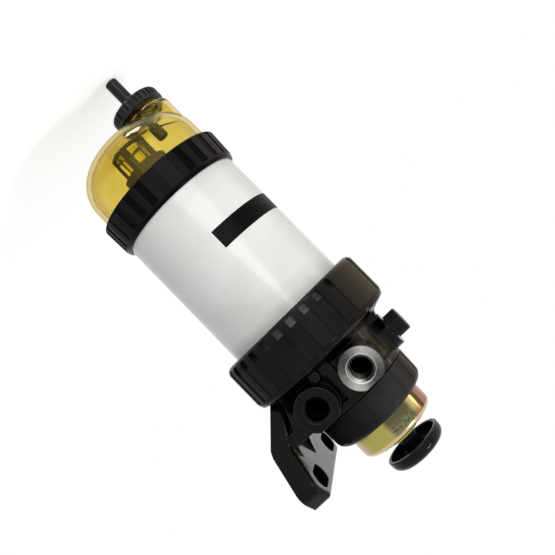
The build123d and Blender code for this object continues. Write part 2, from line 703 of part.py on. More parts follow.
def head_turning():
    """The round body: skirt, flange, sloping deck, barrel, pump flange and threaded spigot."""
    deck_top = DECK_Z + DECK_RISE
    return turned(
        (0, CHAMBER_TOP), (SKIRT_IN_R, CHAMBER_TOP), (SKIRT_IN_R, SKIRT_Z), (SKIRT_R, SKIRT_Z),
        (SKIRT_R, FLANGE_Z), (HEAD_FLANGE_R, FLANGE_Z), (HEAD_FLANGE_R, DECK_Z - HEAD_FLANGE_CHAMFER),
        (HEAD_FLANGE_R - HEAD_FLANGE_CHAMFER, DECK_Z), (DECK_R, deck_top, DECK_EDGE_R),
        (BARREL_R, deck_top, BARREL_FOOT_R),
        (BARREL_R, BARREL_TOP), (COLLET_R, COLLET_Z), (COLLET_R, SPIGOT_BASE),
        (SPIGOT_R, SPIGOT_BASE), (SPIGOT_R, SPIGOT_TOP), (PUMP_CAVITY_R, SPIGOT_TOP),
        (PUMP_FLOOR_R, PUMP_FLOOR_Z), (0, PUMP_FLOOR_Z))


def port_boss(x, side):
    """One round port boss, cut flat above so that the pump's nut clears it."""
    boss = along_y(BOSS_R, x, PORT_Z, side * (BARREL_R - BOSS_ROOT), side * PORT_FACE_Y)
    half = BOSS_R + OVERCUT
    far = PORT_FACE_Y + OVERCUT
    above = slab(x - half, x + half, -far, far, BOSS_FLAT_Z, PORT_Z + half)
    return boss - above


def port_webs(side):
    """Rib between the two bosses, the cast pad below it and a hexagonal stud beside the pad."""
    root = -BARREL_R + WEB_ROOT
    rib = slab(PORT_SHIFT + PORT_RIB_X[0], PORT_SHIFT + PORT_RIB_X[1], -BARREL_R - PORT_RIB_REACH, root,
               DECK_Z + DECK_RISE / 2, BARREL_TOP + PORT_RIB_RISE)
    pad = slab(PORT_SHIFT + PORT_PAD_X[0], PORT_SHIFT + PORT_PAD_X[1], -BARREL_R - PORT_PAD_REACH, root,
               DECK_Z, DECK_Z + PORT_PAD_RISE)
    hexagon = Pos(PORT_SHIFT + PORT_STUD_X, DECK_Z + PORT_STUD_RISE) * RegularPolygon(PORT_STUD_R, 6)
    stud = Pos(0, root, 0) * extrude(Plane.XZ * hexagon, amount=BARREL_R + PORT_STUD_REACH + root)
    webs = rib + pad + stud
    return webs if side < 0 else mirror(webs, Plane.XZ)


def half_width(z):
    """Half the bracket's width at a height on its V-shaped front outline."""
    return BRACKET_NECK_Y + BRACKET_SPREAD * (z - BRACKET_NECK_Z)


def bracket():
    """Mounting plate and its arm: one bent slab trimmed by a V-shaped front outline."""
    side = Plane.XZ * outline(
        (ARM_FOOT_X, ARM_FOOT_Z), (BRACKET_FACE_X - BRACKET_HEEL_INSET, ARM_KNEE_Z, BRACKET_HEEL_R),
        (BRACKET_FACE_X, ARM_KNEE_Z + BRACKET_HEEL_RISE, BRACKET_HEEL_R),
        (BRACKET_FACE_X, BRACKET_TOP, BRACKET_FACE_EDGE_R), (BRACKET_INNER_X, BRACKET_TOP),
        (BRACKET_INNER_X, ARM_INNER_KNEE_Z, ARM_INNER_R), (ARM_INNER_FOOT_X, ARM_FOOT_Z))
    front = Plane.YZ * outline(
        (-half_width(ARM_FOOT_Z), ARM_FOOT_Z), (half_width(ARM_FOOT_Z), ARM_FOOT_Z),
        (BRACKET_WIDE_Y, BRACKET_WIDE_Z, BRACKET_WIDE_CORNER_R),
        (BRACKET_TOP_Y, BRACKET_TOP, BRACKET_TOP_CORNER_R),
        (-BRACKET_TOP_Y, BRACKET_TOP, BRACKET_TOP_CORNER_R),
        (-BRACKET_WIDE_Y, BRACKET_WIDE_Z, BRACKET_WIDE_CORNER_R))
    bent = extrude(side, amount=BRACKET_WIDE_Y + OVERCUT, both=True)
    plate = bent & extrude(front, amount=BRACKET_FACE_X + OVERCUT)
    inner_face = plate.faces().filter_by(Axis.X).sort_by(Axis.X)[0]
    plate = fillet(inner_face.edges().sort_by(Axis.Z)[1:], BRACKET_EDGE_R)
    slot = Plane.YZ * Pos(SLOT_SPACING / 2, SLOT_Z) * SlotOverall(SLOT_LENGTH, SLOT_WIDTH)
    through = extrude(slot, amount=BRACKET_FACE_X + OVERCUT)
    return plate - [through, mirror(through, Plane.XZ)]


def across(profile, front):
    """The solid with one outline seen from the side (x, z) and another from the front (y, z)."""
    sideways = extrude(Plane.XZ * outline(*profile), amount=BRACKET_WIDE_Y, both=True)
    return sideways & extrude(Plane.YZ * outline(*front), amount=BRACKET_FACE_X)


def bracket_webs():
    """Core, side webs and ribs that tie the bracket to the barrel; a groove parts each web from the arm."""
    root = BARREL_R - BOSS_ROOT
    foot = DECK_Z
    buried_foot = (ARM_INNER_FOOT_X + ARM_FOOT_X) / 2
    inset = half_width(foot) - GROOVE_DEPTH
    inset_top = half_width(WEB_TOP) - GROOVE_DEPTH
    core = across(
        ((root, foot), (buried_foot, ARM_FOOT_Z), (BRACKET_INNER_X, POCKET_Z), (root, POCKET_Z)),
        ((-inset, foot), (inset, foot), (inset_top, WEB_TOP), (-inset_top, WEB_TOP)))
    low = half_width(foot)
    high = half_width(WEB_TOP)
    web = across(
        ((root, foot), (buried_foot, ARM_FOOT_Z), *WEB_EDGE, (root, WEB_TOP)),
        ((-low, foot), (-low + WEB_T, foot), (-high + WEB_T, WEB_TOP), (-high, WEB_TOP)))
    heel = BRACKET_INNER_X - RIB_HEEL
    buried = BRACKET_INNER_X + SINK
    near = RIB_INSET - high
    far = near + RIB_WIDTH
    rib = across(
        ((heel, POCKET_Z), (buried, POCKET_Z), (buried, RIB_TIP_Z), (BRACKET_INNER_X, RIB_TIP_Z),
         (WEB_EDGE[-1][0], WEB_TOP, RIB_FOOT_R), (heel, WEB_TOP)),
        ((near, POCKET_Z), (near, WEB_TOP), (-RIB_TIP_Y, RIB_TIP_Z), (RIB_TIP_W - RIB_TIP_Y, RIB_TIP_Z),
         (far, WEB_TOP), (far, POCKET_Z)))
    spine = extrude(Plane.XZ * outline(
        (root, foot + DECK_RISE), (buried, POCKET_Z), (buried, SPINE_TIP_Z), (BRACKET_INNER_X, SPINE_TIP_Z),
        (BRACKET_INNER_X - SPINE_STEP, WEB_TOP, SPINE_R), (root, WEB_TOP)), amount=SPINE_WIDTH / 2, both=True)
    sides = web + rib
    return core + sides + mirror(sides, Plane.XZ) + spine


def vent_boss():
    boss = along_x(VENT_BOSS_R, 0, VENT_Z, -BARREL_R + BOSS_ROOT, -VENT_FACE_X)
    root = WEB_ROOT - BARREL_R
    top = VENT_Z - VENT_GUSSET_DROP
    gusset = extrude(Plane.XZ * outline(
        (root, DECK_Z), (-DECK_R - VENT_GUSSET_FOOT, DECK_Z + VENT_GUSSET_FOOT_Z),
        (-VENT_FACE_X, DECK_Z + VENT_GUSSET_KNEE, VENT_GUSSET_EDGE_R),
        (VENT_GUSSET_INSET - VENT_FACE_X, top), (root, top)), amount=VENT_GUSSET_T / 2, both=True)
    return boss + gusset


def head_passages():
    """Fuel ways: ports, galleries, nipple bore, valve pockets and the air passage."""
    ways = []
    gallery_end = PORT_FACE_Y - PORT_DEPTH / 2
    for x in PORT_X:
        ways.append(along_y(GALLERY_R, x, PORT_Z, -gallery_end, gallery_end))
        for side in (-1, 1):
            inner_end = side * (PORT_FACE_Y - PORT_DEPTH)
            ways.append(along_y(PORT_R, x, PORT_Z, inner_end, side * (PORT_FACE_Y + OVERCUT)))
            mouth = Pos(x, side * (PORT_FACE_Y - PORT_CHAMFER / 2), PORT_Z) * Rot(side * -90, 0, 0)
            ways.append(mouth * Cone(PORT_R, PORT_MOUTH_R, PORT_CHAMFER + PORT_MOUTH_CUT))
    ways.append(disc(NIPPLE_BORE_R, NIPPLE_END_Z - OVERCUT, PORT_Z))
    ways.append(along_x(CROSS_GALLERY_R, 0, PORT_Z, PORT_X[0], 0))
    for x, y in (INLET_VALVE, OUTLET_VALVE):
        ways.append(upright(VALVE_POCKET_R, x, y, PUMP_FLOOR_Z - VALVE_POCKET_DEPTH, PUMP_FLOOR_Z + OVERCUT))
    ways.append(upright(VALVE_SEAT_R, INLET_VALVE[0], INLET_VALVE[1], PORT_Z, PUMP_FLOOR_Z))
    ways.append(along_x(VALVE_SEAT_R, INLET_VALVE[1], PORT_Z, INLET_VALVE[0], PORT_X[1]))
    ways.append(upright(VALVE_SEAT_R, OUTLET_VALVE[0], OUTLET_VALVE[1], CHAMBER_TOP - OVERCUT, PUMP_FLOOR_Z))
    ways.append(along_x(VENT_BORE_R, 0, VENT_Z, -VENT_BORE_END, -VENT_FACE_X - OVERCUT))
    ways.append(at_vent(disc(VENT_SEAT_R, 0, VENT_SEAT_DEPTH + OVERCUT)))
    passage_x = -VENT_BORE_END - VENT_PASSAGE_SHIFT
    ways.append(upright(VENT_PASSAGE_R, passage_x, 0, CHAMBER_TOP - OVERCUT, VENT_Z))
    return ways


def head_casting():
    """One casting: round body, four port bosses, vent boss, webs and the wall bracket."""
    body = head_turning()
    for x in PORT_X:
        for side in (-1, 1):
            body += port_boss(x, side)
    body += port_webs(-1)
    body += port_webs(1)
    body += vent_boss()
    body += bracket_webs()
    body += bracket()
    body += ring(NIPPLE_R, NIPPLE_BORE_R, NIPPLE_END_Z, CHAMBER_TOP + SINK)
    body += sectors(SKIRT_R + LUG_REACH, SKIRT_R - SINK, LUG_Z, LUG_Z + LUG_T, LUG_COUNT, LUG_ARC)
    return body - head_passages()


def port_plugs():
    """Socket-head blanking plugs in the two spare ports."""
    stop = PORT_FACE_Y + PLUG_SEAL_T
    plugs = []
    for x in PORT_X:
        plug = along_y(PLUG_HEAD_R, x, PORT_Z, stop, stop + PLUG_HEAD_T)
        plug += along_y(PORT_R - FIT_GAP, x, PORT_Z, stop - PLUG_LENGTH, stop)
        socket = Plane.XZ * Pos(x, PORT_Z) * RegularPolygon(PLUG_HEX / sqrt(3), 6)
        depth = stop + PLUG_HEAD_T - PLUG_HEX_DEPTH
        plug -= Pos(0, depth, 0) * extrude(socket, amount=-PLUG_HEX_DEPTH - OVERCUT)
        plugs.append(plug)
    return Compound(plugs)


def port_plug_seals():
    seals = []
    for x in PORT_X:
        stop = PORT_FACE_Y + PLUG_SEAL_T
        seal = along_y(PLUG_HEAD_R - PLUG_SEAL_INSET, x, PORT_Z, PORT_FACE_Y, stop)
        seals.append(seal - along_y(PORT_MOUTH_R, x, PORT_Z, PORT_FACE_Y - OVERCUT, stop + OVERCUT))
    return Compound(seals)


# Priming pump

def pump_ring_nut():
    """Faceted nut that clamps the cover and the diaphragm on the spigot."""
    bore = SPIGOT_R + FIT_GAP
    lip_z = COVER_Z + COVER_T
    body = turned(
        (bore, NUT_BASE), (NUT_R_BOTTOM, NUT_BASE), (NUT_R_TOP, NUT_TOP, NUT_CORNER_R),
        (COVER_R + FIT_GAP, NUT_TOP), (COVER_R + FIT_GAP, lip_z), (bore, lip_z))
    far = NUT_R_BOTTOM + OVERCUT
    low = NUT_BASE - OVERCUT
    facets = cutters(
        NUT_FACETS, 360 / NUT_FACETS, NUT_FACET_FIRST, NUT_FACET_WIDTH,
        (NUT_R_BOTTOM - NUT_FACET_DEPTH, low), (far, low), (far, NUT_TOP),
        (NUT_R_TOP - NUT_FACET_DEPTH, NUT_TOP))
    return body - facets


def pump_cover():
    """Drawn steel cup with an outward flange under the nut and a raised boss round the rod's bush."""
    inner = COVER_R - COVER_T
    boss_in = COVER_BOSS_R - COVER_T
    return turned(
        (inner, COVER_Z), (COVER_FLANGE_R, COVER_Z), (COVER_FLANGE_R, COVER_Z + COVER_T),
        (COVER_R, COVER_Z + COVER_T), (COVER_R, COVER_TOP, COVER_CORNER_R), (COVER_BOSS_R, COVER_TOP),
        (COVER_BOSS_R, COVER_BOSS_TOP, COVER_BOSS_EDGE_R), (BUSH_R, COVER_BOSS_TOP),
        (BUSH_R, COVER_BOSS_TOP - COVER_T),
        (boss_in, COVER_BOSS_TOP - COVER_T), (boss_in, COVER_TOP - COVER_T),
        (inner, COVER_TOP - COVER_T, COVER_CORNER_R - COVER_T))


def rod_bush():
    """Rod guide pushed up through the cover; the upper piston plate rests against its lower end."""
    inner = ROD_R + SHAFT_GAP
    snug = BUSH_R - FIT_GAP
    low = PISTON_Z + PISTON_T + SEAT_GAP
    high = COVER_BOSS_TOP - COVER_T - FIT_GAP
    return turned(
        (inner, low), (snug, low), (snug, high - BUSH_FLANGE_T), (BUSH_FLANGE_R, high - BUSH_FLANGE_T),
        (BUSH_FLANGE_R, high), (snug, high), (snug, BUSH_TOP), (inner, BUSH_TOP))


def pump_button():
    """Hollow push button, open downwards, with a hub on the rod."""
    inner = BUTTON_R - BUTTON_WALL
    shell = turned(
        (0, BUTTON_TOP - BUTTON_WALL), (inner, BUTTON_TOP - BUTTON_WALL, BUTTON_CORNER_R - BUTTON_WALL),
        (inner, BUTTON_RIM_Z, BUTTON_RIM_EDGE_R), (BUTTON_R, BUTTON_RIM_Z, BUTTON_RIM_EDGE_R),
        (BUTTON_R, BUTTON_TOP, BUTTON_CORNER_R), (0, BUTTON_TOP))
    hub_z = BUTTON_TOP - BUTTON_WALL - BUTTON_HUB_DROP
    hub = ring(BUTTON_HUB_R, ROD_R + FIT_GAP, hub_z, BUTTON_TOP - BUTTON_WALL + SINK)
    return shell + hub


def pump_rod():
    """Rod with a stud at its lower end for the piston plates and their clip."""
    top = BUTTON_TOP - BUTTON_WALL - FIT_GAP
    shaft = disc(ROD_R, PISTON_Z + PISTON_T, top)
    stud = disc(PISTON_STUD_R, PISTON_LOW - CLIP_T - STUD_END, PISTON_Z + PISTON_T)
    return shaft + stud


def piston_plate(low):
    return ring(PISTON_R, PISTON_STUD_R + FIT_GAP, low, low + PISTON_T)


def rod_clip():
    """Push-on retainer under the lower plate, slit so that it snaps on."""
    low = PISTON_LOW - CLIP_T
    half = CLIP_SLIT / 2
    clip = ring(CLIP_R, PISTON_STUD_R + FIT_GAP, low, PISTON_LOW)
    return clip - slab(0, CLIP_R + OVERCUT, -half, half, low - OVERCUT, PISTON_LOW + OVERCUT)


def pump_diaphragm():
    """Rubber hat: a clamped rim, a sloping wall and the middle between the piston plates."""
    hole = PISTON_STUD_R + FIT_GAP
    low = PISTON_Z - DIAPHRAGM_T
    foot = PUMP_CAVITY_R - DIAPHRAGM_SLACK
    brow = PISTON_R + DIAPHRAGM_T
    return turned(
        (hole, low), (brow, low), (foot - DIAPHRAGM_T, DIAPHRAGM_Z, DIAPHRAGM_BEND_R),
        (COVER_FLANGE_R, DIAPHRAGM_Z), (COVER_FLANGE_R, COVER_Z), (foot, COVER_Z, DIAPHRAGM_BEND_R / 2),
        (brow + DIAPHRAGM_T, PISTON_Z, DIAPHRAGM_BEND_R), (hole, PISTON_Z))


def pump_spring():
    """Return spring between the pump's floor and the lower piston plate."""
    low = PUMP_FLOOR_Z + SPRING_WIRE_R + SEAT_GAP
    high = PISTON_LOW - SPRING_WIRE_R - SEAT_GAP
    path = Helix((high - low) / SPRING_TURNS, high - low, SPRING_R)
    wire = Plane(path @ 0, z_dir=path % 0) * RegularPolygon(SPRING_WIRE_R, 6)
    return Pos(0, 0, low) * sweep(wire, path, is_frenet=True)


def check_valve(x, y):
    """Rubber flap valve: a disc over its seat on a stem through the middle."""
    floor = PUMP_FLOOR_Z - VALVE_POCKET_DEPTH
    low = floor + FIT_GAP
    high = low + VALVE_BUTTON_T
    flap = turned(
        (0, low), (VALVE_DISC_R, low), (VALVE_DISC_R, low + VALVE_LIP_T),
        (2 * VALVE_STEM_R, low + VALVE_DISC_T), (VALVE_STEM_R, high), (0, high))
    tail = floor - VALVE_TAIL
    stem = disc(VALVE_STEM_R, tail, low) + disc(VALVE_SEAT_R - VALVE_KNOB_GAP, tail, tail + VALVE_KNOB_T)
    return Pos(x, y, 0) * (flap + stem)


# The finished pieces

def parts():
    return {
        "head_casting": head_casting(),
        "port_plugs": port_plugs(),
        "port_plug_seals": port_plug_seals(),
        "locking_collar": locking_collar(),
        "filter_can": filter_can(),
        "can_seal": can_seal(),
        "element_top_plate": element_top_plate(),
        "nipple_seal": nipple_seal(),
        "element_upper_cap": element_upper_cap(),
        "filter_media": filter_media(),
        "centre_tube": centre_tube(),
        "element_bottom_cap": element_bottom_cap(),
        "bowl": bowl(),
        "bowl_seal": bowl_seal(),
        "bowl_collar": bowl_collar(),
        "drain_cap": drain_cap(),
        "drain_seal": drain_seal(),
        "drain_stem": drain_stem(),
        "vent_plug": vent_plug(),
        "vent_seal": vent_seal(),
        "pump_ring_nut": pump_ring_nut(),
        "pump_cover": pump_cover(),
        "rod_bush": rod_bush(),
        "pump_button": pump_button(),
        "pump_rod": pump_rod(),
        "piston_upper_plate": piston_plate(PISTON_Z),
        "piston_lower_plate": piston_plate(PISTON_LOW),
        "rod_clip": rod_clip(),
        "pump_diaphragm": pump_diaphragm(),
        "pump_spring": pump_spring(),
        "inlet_valve": check_valve(*INLET_VALVE),
        "outlet_valve": check_valve(*OUTLET_VALVE),
    }


to_origin = Pos(-BRACKET_FACE_X, 0, -SLOT_Z)
for name, shape in parts().items():
    export_step(to_origin * shape, f"parts/{name}.step")
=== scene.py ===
import json
from math import atan2, pi, radians

import bmesh
import bpy
from mathutils import Matrix, Vector


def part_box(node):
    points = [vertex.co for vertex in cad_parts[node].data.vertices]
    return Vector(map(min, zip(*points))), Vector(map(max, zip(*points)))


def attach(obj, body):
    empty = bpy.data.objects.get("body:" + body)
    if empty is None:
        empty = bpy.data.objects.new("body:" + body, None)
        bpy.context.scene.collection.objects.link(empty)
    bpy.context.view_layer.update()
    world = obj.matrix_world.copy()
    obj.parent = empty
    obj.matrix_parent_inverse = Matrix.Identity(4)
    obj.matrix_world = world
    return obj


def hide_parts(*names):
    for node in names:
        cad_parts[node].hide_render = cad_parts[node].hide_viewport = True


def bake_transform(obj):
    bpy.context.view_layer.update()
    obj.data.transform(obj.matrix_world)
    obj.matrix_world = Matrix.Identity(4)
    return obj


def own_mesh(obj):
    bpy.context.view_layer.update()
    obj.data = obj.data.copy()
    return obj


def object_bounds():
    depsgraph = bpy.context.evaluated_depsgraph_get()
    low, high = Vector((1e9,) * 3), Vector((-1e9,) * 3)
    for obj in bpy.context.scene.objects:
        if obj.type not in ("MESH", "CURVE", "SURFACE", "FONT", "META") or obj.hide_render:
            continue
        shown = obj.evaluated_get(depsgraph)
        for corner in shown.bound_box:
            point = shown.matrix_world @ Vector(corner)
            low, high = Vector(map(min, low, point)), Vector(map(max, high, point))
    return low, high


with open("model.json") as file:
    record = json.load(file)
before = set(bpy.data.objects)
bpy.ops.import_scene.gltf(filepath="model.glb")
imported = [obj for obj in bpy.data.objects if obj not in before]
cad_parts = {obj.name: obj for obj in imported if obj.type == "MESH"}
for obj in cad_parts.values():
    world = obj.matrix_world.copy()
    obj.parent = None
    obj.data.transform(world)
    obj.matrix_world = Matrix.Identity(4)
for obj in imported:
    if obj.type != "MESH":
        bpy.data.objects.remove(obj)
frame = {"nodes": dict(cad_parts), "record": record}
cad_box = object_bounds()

# Lengths are in metres and angles in radians. The filter stands upright, with its axis at FILTER_X,
# the bracket on +X, the vent on -X and the open ports on -Y. An angle round the axis starts at +X.
# Three numbers for a band are its low end, its high end and how softly it fades.
HAIR = 0.0001
SIDE_FADE = 0.9
FILTER_X = -0.0655
MIDDLE = (cad_box[0] + cad_box[1]) / 2
FLOOR_Z = cad_box[0].z - 0.001

# Head: ports, vent, bracket
PORT_X = (-0.0827, -0.0449)
PORT_Z = -0.0336
PORT_FACE_Y = -0.0495
PORT_RING_R = 0.0140
PORT_MOUTH_R = 0.0088
PORT_MOUTH_LINE = (0.0089, 0.0092, HAIR)
PORT_THREAD_R, PORT_PITCH = 0.0074, 0.0015
BORE_END_Y = (-0.0323, -0.0315)
GALLERY_NEAR_Y, GALLERY_FAR_Y = (-0.0355, -0.0315), (0.02, 0.03)
TURNING_PITCH = 0.00024
SADDLE_X, SADDLE_Z, SADDLE_Y = (-0.102, -0.090, 0.003), (-0.056, -0.020, 0.004), (-0.02, 0.0)
PLATE_INNER_X = -0.0142
VENT_Z, VENT_KNOB_R, KNURL_DEPTH = -0.0331, 0.0087, 0.0006

# Locking collar and can
COLLAR_FLOOR_R = 0.0563
POCKET_BAND, POCKET_R = (-0.0869, -0.0805, 2 * HAIR), 0.0559
COLLAR_SHADE_Z = (-0.0958, -0.0858)
LABEL_BAND = (-0.1570, -0.1436, 0.00008)
LABEL_STARTS, LABEL_ENDS, LABEL_SOFT = radians(165), radians(-101.5), 0.0015

# Bowl, its collar and the drain
RING_FOOT_Z, RING_FOOT_R, RING_TAPER = -0.2115, 0.0497, 0.044
POST_R = 0.0112
DRAIN_X = -0.0898
NECK_TOP_Z, NECK_R, NECK_PITCH = -0.2512, 0.0148, 0.0013
CAP_RIBS, CAP_RIB_R = 72, (0.0150, 0.0160)

# Pump
MOTTLE_Z, STREAK_Z = (0.006, 0.013), (0.009, 0.017)
SHOULDER_Z, BOSS_Z = (0.0154, 0.0172), (0.0208, 0.0212)
CRIMP_TEETH, CRIMP_R = 60, (0.0096, 0.0100)
GUIDE_TEETH = 48
LIP_R, LIP_WALL, LIP_RISE, LIP_TEETH, LIP_NOTCH = 0.0114, 0.0012, 0.0027, 72, 0.0003
BUTTON_RIM_Z, BUTTON_ROOF_Z, BUTTON_IN_R = 0.0315, 0.0385, 0.0191
BUTTON_SIDE_R = (0.013, 0.019)

# Camera, as fitted to the photo; the lamps' directions are in its own axes
CAMERA_PLACE = (-0.14561, -0.46865, -0.09109)
CAMERA_TURN = Matrix(((-0.7028, -0.6970, -0.1425),
                      (0.1296, 0.0715, -0.9890),
                      (0.6995, -0.7135, 0.0401)))
CAMERA_LENS, CAMERA_SENSOR, CAMERA_CLIP = 45.35, 36.0, (0.01, 20.0)

# Lamps: name, way to it, way its height runs, distance, width, height, watts, colour
LAMPS = (
    ("key", (-0.46, 0.88, 0.10), (-0.8, -0.55, 0.0), 0.9, 0.15, 0.26, 3.6, (1.0, 1.0, 1.0)),
    ("front", (-0.05, 0.5, 0.86), (0.0, 1.0, 0.0), 1.2, 0.8, 0.8, 8.0, (1.0, 1.0, 1.0)),
    ("side", (0.84, 0.53, 0.06), (0.70, -0.71, 0.04), 0.9, 0.05, 0.30, 0.45, (1.0, 0.88, 0.68)),
    ("glint", (0.82, -0.28, 0.48), (0.71, 0.70, 0.0), 0.9, 0.07, 0.22, 1.4, (1.0, 1.0, 1.0)),
)
WHITE = (1, 1, 1, 1)
WORLD_LIGHT = 0.46
FLOOR_SIZE, FLOOR_GLOW = 8.0, 0.6


def tone(red, green, blue):
    """A colour given in screen values from 0 to 255, as the linear one that shaders take."""
    linear = []
    for share in (red / 255, green / 255, blue / 255):
        linear.append(share / 12.92 if share <= 0.04045 else ((share + 0.055) / 1.055) ** 2.4)
    return (*linear, 1.0)


def grey(value, cool=1):
    """A grey, with a trace of blue unless cool is 0."""
    return tone(value, value, value + cool)


def socket_name(key):
    special = {"ior": "IOR", "specular": "Specular IOR Level"}
    return special.get(key, key.replace("_", " ").title())


class Signal:
    """A number that varies over a surface; Python's own signs add the nodes that work it out."""

    def __init__(self, nodes, socket):
        self.nodes = nodes
        self.socket = socket

    def using(self, operation, *values):
        return self.nodes.value("ShaderNodeMath", {"operation": operation}, dict(enumerate(values)))

    def __add__(self, other):
        return self.using("ADD", self, other)

    def __sub__(self, other):
        return self.using("SUBTRACT", self, other)

    def __mul__(self, other):
        return self.using("MULTIPLY", self, other)

    def __radd__(self, other):
        return self.using("ADD", other, self)

    def __rsub__(self, other):
        return self.using("SUBTRACT", other, self)

    def __rmul__(self, other):
        return self.using("MULTIPLY", other, self)

    def sine(self):
        return self.using("SINE", self)

    def root(self):
        return self.using("SQRT", self)

    def most(self, other):
        return self.using("MAXIMUM", self, other)

    def least(self, other):
        return self.using("MINIMUM", self, other)

    def rising(self, low, high):
        """0 below low, 1 above high and smooth in between."""
        return self.nodes.value("ShaderNodeMapRange", {"interpolation_type": "SMOOTHSTEP"},
                                {"Value": self, "From Min": low, "From Max": high})

    def falling(self, low, high):
        """1 below low, 0 above high and smooth in between."""
        return 1 - self.rising(low, high)

    def between(self, low, high, soft):
        """1 from low to high, fading out at both."""
        return self.rising(low - soft, low + soft) * self.falling(high - soft, high + soft)


class Nodes:
    """A node tree, with short ways to add nodes and to link them."""

    def __init__(self, tree):
        self.tree = tree
        self.tree.nodes.clear()

    def node(self, kind, settings=None, sockets=None):
        """Adds a node; its settings are set first, then its sockets get values or links."""
        made = self.tree.nodes.new(kind)
        for key, value in (settings or {}).items():
            setattr(made, key, value)
        for key, value in (sockets or {}).items():
            self.feed(made.inputs[key], value)
        return made

    def feed(self, socket, value):
        if isinstance(value, Signal):
            value = value.socket
        if isinstance(value, bpy.types.NodeSocket):
            self.tree.links.new(value, socket)
        else:
            socket.default_value = value

    def value(self, kind, settings, sockets):
        return Signal(self, self.node(kind, settings, sockets).outputs[0])

    def mixed(self, first, second, share):
        """One shader or the other, by a share from 0 to 1."""
        sockets = {0: share, 1: first.outputs[0], 2: second.outputs[0]}
        return self.node("ShaderNodeMixShader", {}, sockets)

    def shown(self):
        """1 for rays that show a thing, straight, in gloss or through the bowl; 0 for light."""
        rays = self.node("ShaderNodeLightPath").outputs
        straight, gloss, through = (
            Signal(self, rays[f"Is {kind} Ray"]) for kind in ("Camera", "Glossy", "Transmission"))
        return straight.most(gloss).most(through)


class Finish(Nodes):
    """A material: one Principled shader, fed by patterns on the piece's own coordinates."""

    def __init__(self, name, colour, roughness, **surface):
        self.material = bpy.data.materials.new(name)
        self.material.use_nodes = True
        super().__init__(self.material.node_tree)
        values = {"Base Color": colour, "Roughness": roughness}
        values.update({socket_name(key): value for key, value in surface.items()})
        self.shader = self.node("ShaderNodeBsdfPrincipled", {}, values)
        self.output = self.node("ShaderNodeOutputMaterial", {}, {"Surface": self.shader.outputs[0]})
        self.place = self.node("ShaderNodeTexCoord").outputs["Object"]
        split = self.node("ShaderNodeSeparateXYZ", {}, {0: self.place})
        self.x, self.y, self.z = (Signal(self, split.outputs[i]) for i in range(3))
        self.normal = None

    def surface(self, **channels):
        for key, value in channels.items():
            self.feed(self.shader.inputs[socket_name(key)], value)

    def noise(self, scale, detail=2.0, roughness=0.5, stretch=None):
        where = self.place
        if stretch:
            where = self.node("ShaderNodeMapping", {}, {0: where, "Scale": stretch}).outputs[0]
        sockets = {"Vector": where, "Scale": scale, "Detail": detail, "Roughness": roughness}
        return self.value("ShaderNodeTexNoise", {"noise_dimensions": "3D"}, sockets)

    def grain(self, scale):
        """Distance to the nearest cell centre of a fine moulded or cast grain."""
        sockets = {"Vector": self.place, "Scale": scale}
        return self.value("ShaderNodeTexVoronoi", {"feature": "F1"}, sockets)

    def blend(self, first, second, share):
        """One colour or the other, by a share from 0 to 1."""
        sockets = {0: share, 6: first, 7: second}
        return self.node("ShaderNodeMix", {"data_type": "RGBA"}, sockets).outputs[2]

    def distance(self, first, second):
        return (first * first + second * second).root()

    def around(self, first, second):
        """The angle of a point whose two coordinates are given, from the first to the second."""
        return self.value("ShaderNodeMath", {"operation": "ARCTAN2"}, {0: second, 1: first})

    def radius(self, axis_x=FILTER_X):
        """Distance from an upright axis."""
        return self.distance(self.x - axis_x, self.y)

    def angle(self, axis_x=FILTER_X):
        """The angle round an upright axis, from -pi to pi."""
        return self.around(self.x - axis_x, self.y)

    def soften(self, radius):
        """Rounds the look of sharp edges, and gives back how close a point is to one."""
        rounded = self.node("ShaderNodeBevel", {"samples": 4}, {"Radius": radius}).outputs[0]
        flat = self.node("ShaderNodeNewGeometry").outputs["Normal"]
        self.normal = rounded
        facing = self.node("ShaderNodeVectorMath", {"operation": "DOT_PRODUCT"},
                           {0: rounded, 1: flat})
        return 1 - Signal(self, facing.outputs["Value"])

    def bump(self, height, depth, strength=1.0):
        sockets = {"Height": height, "Distance": depth, "Strength": strength}
        if self.normal:
            sockets["Normal"] = self.normal
        self.normal = self.node("ShaderNodeBump", {}, sockets).outputs[0]
        self.surface(normal=self.normal)


